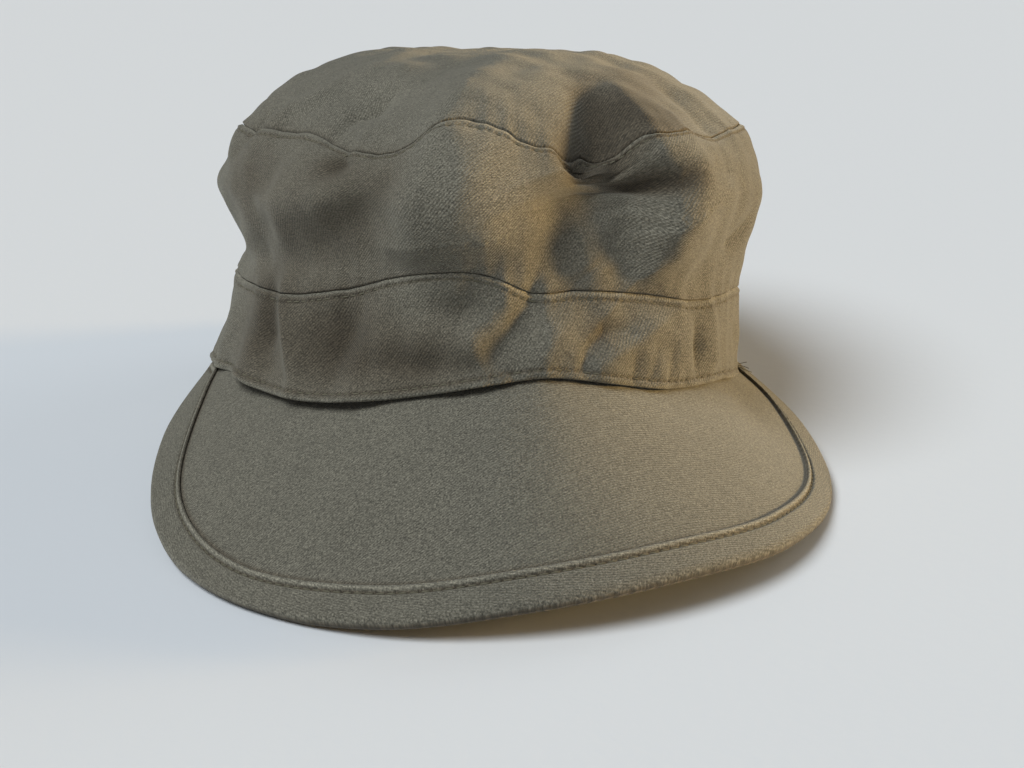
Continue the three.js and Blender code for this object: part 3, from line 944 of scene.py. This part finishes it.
class BuildCrownSide(bpy.types.Operator):
    """Build the side wall of the crown, whose upper edge is folded over the top panel"""

    bl_idname = "field_cap.crown_side"
    bl_label = "Crown side"

    def execute(self, context):
        cloth = context.scene.field_cap_cloth
        pitch = cloth.stitch_length / MM
        angle = column_angles(COLUMNS)
        seam = band_seam_up(angle)
        high = top_seam_up(angle)
        radius = WALL_THICK * (1 - PRESSED) / 2
        main = spaced(seam + FINE, high - FINE, SIDE_ROWS)
        top = spaced(high - FINE, high - radius, EDGE_ROWS)

        def depth(up):
            fold = folded_edge(angle, high - up, SEAM_STITCH, pitch, WALL_THICK * PRESSED)
            return below_fold(angle, up - seam) + fold

        edge = half_round(high - radius, depth(high - radius), radius, FOLD_TURNS)
        inner = spaced(high - radius, seam - LAP, INNER_ROWS["side"])[1:]
        rows = [
            *lapped_end(angle, seam, BAND_THICK + AIR, depth),
            (main, depth(main), 0.0),
            (top, depth(top), edge_marks(high - top, SEAM_STITCH)),
            (*edge, EDGE_WEAR),
            (inner, below_fold(angle, inner - seam) + WALL_THICK, 0.0),
        ]
        fabric = twill("twill_side_wall", cloth)
        piece = wall_piece("crown_side_cloth", angle, rows, wall_chart, fabric)
        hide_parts("crown_side")
        return {"FINISHED"}


class BuildHeadBand(bpy.types.Operator):
    """Build the band, folded over the side wall at the top and hemmed at the bottom"""

    bl_idname = "field_cap.head_band"
    bl_label = "Head band"

    def execute(self, context):
        cloth = context.scene.field_cap_cloth
        pitch = cloth.stitch_length / MM
        angle = column_angles(COLUMNS)
        hem = hem_up(angle)
        high = band_seam_up(angle)
        radius = BAND_THICK / 2
        pressed = radius * (1 - PRESSED)
        flare = along(LIP_FLARE, "angle", angle, "out")

        def depth(up):
            fold = folded_edge(angle, high - up, SEAM_STITCH, pitch, BAND_THICK * PRESSED)
            lip = folded_edge(angle, up - hem, HEM_STITCH, pitch)
            return fold + lip - flare * bell(up - hem, LIP_REACH)

        low = spaced(hem + radius, hem + FINE, EDGE_ROWS)
        main = spaced(hem + FINE, high - FINE, BAND_ROWS)
        top = spaced(high - FINE, high - pressed, EDGE_ROWS)
        edge = half_round(high - pressed, depth(high - pressed), pressed, FOLD_TURNS)
        inner = spaced(high - pressed, hem + radius, INNER_ROWS["band"])[1:]
        thick = BAND_THICK * (1 - PRESSED * bell(high - inner, PRESS_REACH))
        lip = half_round(hem + radius, depth(hem + radius), radius, FOLD_TURNS[:0:-1])
        rows = [
            (low, depth(low), edge_marks(low - hem, HEM_STITCH)),
            (main, depth(main), 0.0),
            (top, depth(top), edge_marks(high - top, SEAM_STITCH)),
            (*edge, EDGE_WEAR),
            (inner, depth(inner) + thick, 0.0),
            (2 * (hem + radius) - lip[0], lip[1], LIP_WEAR),
        ]
        fabric = twill("twill_band", cloth)
        piece = wall_piece("head_band_cloth", angle, rows, wall_chart, fabric)
        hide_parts("head_band")
        return {"FINISHED"}


def arc_lengths(points):
    """How far along a path each of its points lies."""
    steps = np.linalg.norm(np.diff(points, axis=0), axis=1)
    return np.concatenate([[0], np.cumsum(steps)])


def open_ends(angle, end):
    """1 along a piece of the peak and 0 at its two ends, where its section closes to a point."""
    return np.where(np.abs(angle) < end - TINY, 1.0, 0.0)


def peak_piece(name, angle, section, chart, material):
    """A piece of the peak from its section: rows of (inward, height, marks) for every angle."""
    inward, height, marks = (closed(rows) for rows in section)
    turn = np.broadcast_to(angle, inward.shape)
    places = peak_laid(turn, inward, height)
    return cloth_piece(name, places, chart(turn, inward, height), marks, material)


class BuildPeakPanel(bpy.types.Operator):
    """Build the stiffened panel of the peak"""

    bl_idname = "field_cap.peak_panel"
    bl_label = "Peak panel"

    def execute(self, context):
        cloth = context.scene.field_cap_cloth
        angle = PANEL_END * np.linspace(1, -1, PANEL_COLUMNS + 1)
        length = ruling_length(angle)
        faces = (np.linspace(0, 1, PANEL_ROWS), np.linspace(1, 0, INNER_ROWS["panel"]))
        share = np.concatenate(faces)[:, None]
        side = np.repeat([1.0, -1.0], [len(face) for face in faces])[:, None]
        inward = length + (PANEL_INSET - length) * share
        height = PANEL_THICK / 2 * side * open_ends(angle, PANEL_END)
        marks = -PANEL_SHADE * bell(inward - binding_width(angle), PANEL_SHADE_REACH)

        def chart(turn, inward, height):
            flat = peak_point(turn, inward, height)
            return np.stack([flat[..., 0], flat[..., 1] * SLOPE_STRETCH], -1)

        fabric = twill("twill_peak_panel", cloth)
        piece = peak_piece("peak_panel_cloth", angle, (inward, height, marks), chart, fabric)
        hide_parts("peak")
        return {"FINISHED"}


def binding_top(inward, width):
    """Height of the binding's upper leaf over the middle of the panel."""
    flat = PANEL_THICK / 2 + AIR + LEAF
    toward_rim = np.clip(1 - inward / width, 0, 1)
    rise = flat + (RIM_HALF - flat) * toward_rim
    beside = width - inward
    welt = WELT_RISE * bell(beside - WELT / 2, WELT / 2)
    return rise + welt - BINDING_GROOVE * bell(beside - WELT - BINDING_STITCH, GROOVE_HALF)


def binding_marks(beside, angle):
    """Wear on the welt (+), and the shade in its row of stitches and at its inner edge (-)."""
    side = np.clip((np.abs(angle) - WELT_SHADE_FROM) / WELT_SHADE_OVER, WELT_SHADE_LEAST, 1)
    crest = bell(beside - WELT_WEAR_AT, WELT_MARK_HALF)
    groove = bell(beside - WELT - BINDING_STITCH, WELT_MARK_HALF)
    return crest - groove - WELT_SHADE * side * bell(beside, WELT_SHADE_REACH)


class BuildPeakBinding(bpy.types.Operator):
    """Build the folded strip that binds the edge of the peak"""

    bl_idname = "field_cap.peak_binding"
    bl_label = "Peak binding"

    def execute(self, context):
        cloth = context.scene.field_cap_cloth
        angle = PEAK_END * np.linspace(1, -1, RIM_COLUMNS + 1)
        width = binding_width(angle)
        slot = PANEL_THICK / 2 + AIR
        share = np.linspace(0, 1, LEAF_ROWS)[:, None]
        leaf = (width - LEAF / 2) * (1 - share) + RIM_HALF * share
        under = leaf[::-1][::3]  # a third of the rows will do below
        turns = np.array(RIM_TURNS)[:, None] * DEGREE
        slot_share = np.linspace(0, 1, INNER_ROWS["slot"])[:, None]
        slot_face = width * (1 - slot_share) + SLOT_END * slot_share
        blocks = [
            (leaf, binding_top(leaf, width)),
            (RIM_HALF * (1 - np.cos(turns)), RIM_HALF * np.sin(turns)),
            (under, -binding_top(under, width)),
            (slot_face, -slot),
            (slot_face[::-1], slot),
        ]
        inward, height = (stacked(blocks, part, len(angle)) for part in range(2))
        # the rim's lower half, the lower leaf and the slot, up to the welt's inner edge, are darkened in
        # full: painted shade
        marks = np.where(height > slot + TINY, binding_marks(width - inward, angle), -1.0)
        closing = open_ends(angle, PEAK_END)
        section = (inward * closing, height * closing, marks)
        arc = arc_lengths(peak_point(angle, np.zeros_like(angle), np.zeros_like(angle)))

        def chart(turn, inward, height):
            return np.stack([np.broadcast_to(arc, inward.shape), inward], -1)

        fabric = twill("twill_binding", cloth)
        piece = peak_piece("peak_binding_cloth", angle, section, chart, fabric)
        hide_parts("peak_border")
        return {"FINISHED"}


# ---- stitches ----

STITCH_HALF = 0.43  # half the length of a stitch, as a share of its pitch
STITCH_SUNK = 0.25  # the share of its thickness that lies under the cloth's face
BINDING_STITCH_PROUD = 0.2
BINDING_UNSEWN = 3  # degrees at each end
STITCH_SEGMENTS = (6, 4)

# The yarns that have worn loose where the root of the peak ends.
FRAYED_SEED = 5
FRAYED_AT = 79  # degrees round the head
FRAYED_UP = 1.2
FRAYED_DEPTH = 0.4
FRAYED_LENGTHS = (4.4, 3.6, 3.0, 2.4, 2.0)
FRAYED_WAY = (1.0, -0.25, 0.05)
FRAYED_SPREAD = 0.35
FRAYED_CURL = 0.6
FRAYED_POINTS = 12
FRAYED_PITCH = 0.6
FRAYED_REACH = 0.62  # the short lengths of a loose yarn overlap
YARN_WIDTH = 0.45  # of the thread's


def stitch_row(shape, path, pitch, width, reach=STITCH_HALF):
    """Sews along a path of points: a half-sunk stitch from each needle hole to the next."""
    arc = arc_lengths(path)
    holes_at = np.linspace(0, arc[-1], int(arc[-1] / pitch) + 1)
    holes = np.stack([np.interp(holes_at, arc, path[:, i]) for i in range(3)], -1)
    around, along_it = STITCH_SEGMENTS
    lengthwise = Matrix.Rotation(90 * DEGREE, 4, "Y")
    for start, end in zip(holes[:-1], holes[1:]):
        run = Vector(end - start)
        size = Matrix.Diagonal((run.length * reach * MM, width / 2, width / 2, 1))
        turn = run.to_track_quat("X", "Z").to_matrix().to_4x4()
        place = Matrix.Translation(Vector((start + end) / 2 + SHIFT) * MM)
        bmesh.ops.create_uvsphere(shape, u_segments=around, v_segments=along_it, radius=1,
                                  matrix=place @ turn @ size @ lengthwise)


def frayed_end(shape, corner, width):
    """A tuft of short yarns that have worn loose where two cloths end."""
    random = np.random.default_rng(FRAYED_SEED)
    share = np.linspace(0, 1, FRAYED_POINTS)[:, None]
    for length in FRAYED_LENGTHS:
        way = np.array(FRAYED_WAY) + random.uniform(-FRAYED_SPREAD, FRAYED_SPREAD, 3)
        curl = random.uniform(-FRAYED_CURL, FRAYED_CURL, 3)
        path = corner + length * (share * way + share * share * curl)
        stitch_row(shape, path, FRAYED_PITCH, width * YARN_WIDTH, FRAYED_REACH)


class SewStitches(bpy.types.Operator):
    """Sew the rows of stitches of the seams, the hem and the binding"""

    bl_idname = "field_cap.stitches"
    bl_label = "Stitches"

    def execute(self, context):
        cloth = context.scene.field_cap_cloth
        pitch = cloth.stitch_length / MM
        thread = sewing_thread("sewing_thread", cloth)
        thick = cloth.thread_width / MM
        angle = column_angles(COLUMNS * 2)
        depth = np.full(angle.shape, GROOVE - thick * STITCH_SUNK)
        flare = along(LIP_FLARE, "angle", angle, "out") * bell(HEM_STITCH, LIP_REACH)
        walls = {
            "stitches_band": (band_seam_up(angle) - SEAM_STITCH, depth),
            "stitches_top": (top_seam_up(angle) - SEAM_STITCH, depth),
            "stitches_hem": (hem_up(angle) + HEM_STITCH, depth - flare),
        }
        rows = {name: lie_down(cloth_point(angle, up, under)) for name, (up, under) in walls.items()}
        worn = np.array([FRAYED_AT])
        corner = lie_down(cloth_point(worn, hem_up(worn) + FRAYED_UP, np.array([FRAYED_DEPTH])))[0]
        angle = (PEAK_END - BINDING_UNSEWN) * np.linspace(1, -1, RIM_COLUMNS * 2)
        width = binding_width(angle)
        inward = width - WELT - BINDING_STITCH
        height = binding_top(inward, width) + thick * BINDING_STITCH_PROUD
        rows["stitches_binding"] = peak_laid(angle, inward, height)
        for name, path in rows.items():
            shape = bmesh.new()
            stitch_row(shape, path, pitch, cloth.thread_width)
            if name == "stitches_hem":
                frayed_end(shape, corner, cloth.thread_width)
            mesh = bpy.data.meshes.new(name)
            finish_mesh(shape, mesh)
            add_piece(name, mesh, thread)
        return {"FINISHED"}


# ---- the stage ----

FLOOR_HALF = 9.0  # metres
# Far lights: degrees round from the front toward +X, degrees over the floor, and how broad each is.
LIGHTS = table("name turn rise spread", [
    ["key", 92, 5, 12],
    ["rim", 118, 10, 30],
    ["fill", -60, 57, 36],
])
CAMERA_PLACE = (-0.0349, -0.4883, 0.1908)
CAMERA_AIM = (0.0129, 0.0364, 0.0011)
CAMERA_ROLL = -1.27  # degrees


class SetStage(bpy.types.Operator):
    """Lay the floor, hang the lights and set up the camera"""

    bl_idname = "field_cap.stage"
    bl_label = "Stage"

    def execute(self, context):
        scene = context.scene
        stage = scene.field_cap_stage
        shape = bmesh.new()
        bmesh.ops.create_grid(shape, x_segments=1, y_segments=1, size=FLOOR_HALF)
        mesh = bpy.data.meshes.new("floor")
        shape.to_mesh(mesh)
        shape.free()
        floor = bpy.data.objects.new("floor", mesh)
        scene.collection.objects.link(floor)
        mesh.materials.append(painted_floor("painted_floor", stage.floor_colour))
        for light in LIGHTS:
            name = light["name"]
            add_light(**light, power=getattr(stage, name + "_power"), colour=getattr(stage, name + "_colour"))
        scene.world = bpy.data.worlds.new("studio")
        scene.world.use_nodes = True
        room = scene.world.node_tree.nodes["Background"].inputs
        room["Color"].default_value = stage.room_colour
        room["Strength"].default_value = stage.room_power
        camera = bpy.data.objects.new("camera", bpy.data.cameras.new("camera"))
        scene.collection.objects.link(camera)
        camera.data.lens = stage.lens
        camera.location = CAMERA_PLACE
        look = (Vector(CAMERA_AIM) - Vector(CAMERA_PLACE)).to_track_quat("-Z", "Y")
        camera.rotation_mode = "QUATERNION"
        camera.rotation_quaternion = look @ Quaternion((0, 0, 1), CAMERA_ROLL * DEGREE)
        scene.camera = camera
        scene.view_settings.view_transform = "Standard"
        return {"FINISHED"}


def add_light(name, turn, rise, spread, power, colour):
    """Hangs a far, soft light."""
    data = bpy.data.lights.new(name, "SUN")
    data.angle = spread * DEGREE
    data.energy = power
    data.color = colour[:3]
    light = bpy.data.objects.new(name, data)
    way = Vector((math.sin(turn * DEGREE), -math.cos(turn * DEGREE), math.tan(rise * DEGREE)))
    light.rotation_mode = "QUATERNION"
    light.rotation_quaternion = way.to_track_quat("Z", "Y")
    bpy.context.scene.collection.objects.link(light)


OPERATORS = [
    SetStage, BuildCrownTop, BuildCrownSide, BuildHeadBand, BuildPeakPanel, BuildPeakBinding, SewStitches,
]


class FieldCapPanel(bpy.types.Panel):
    """The steps of the field cap, in order"""

    bl_idname = "VIEW3D_PT_field_cap"
    bl_label = "Field cap"
    bl_space_type = "VIEW_3D"
    bl_region_type = "UI"
    bl_category = "Field cap"

    def draw(self, context):
        for group in (context.scene.field_cap_cloth, context.scene.field_cap_stage):
            for name in group.__annotations__:
                self.layout.prop(group, name)
        for operator in OPERATORS:
            self.layout.operator(operator.bl_idname)


add_classes, remove_classes = bpy.utils.register_classes_factory(
    [FieldCapCloth, FieldCapStage, *OPERATORS, FieldCapPanel])


def register():
    add_classes()
    bpy.types.Scene.field_cap_cloth = PointerProperty(type=FieldCapCloth)
    bpy.types.Scene.field_cap_stage = PointerProperty(type=FieldCapStage)


def unregister():
    del bpy.types.Scene.field_cap_stage
    del bpy.types.Scene.field_cap_cloth
    remove_classes()


def main():
    register()
    bpy.ops.field_cap.stage()
    bpy.ops.field_cap.crown_top()
    bpy.ops.field_cap.crown_side()
    bpy.ops.field_cap.head_band()
    bpy.ops.field_cap.peak_panel()
    bpy.ops.field_cap.peak_binding()
    bpy.ops.field_cap.stitches()
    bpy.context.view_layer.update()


if __name__ == "__main__":
    main()
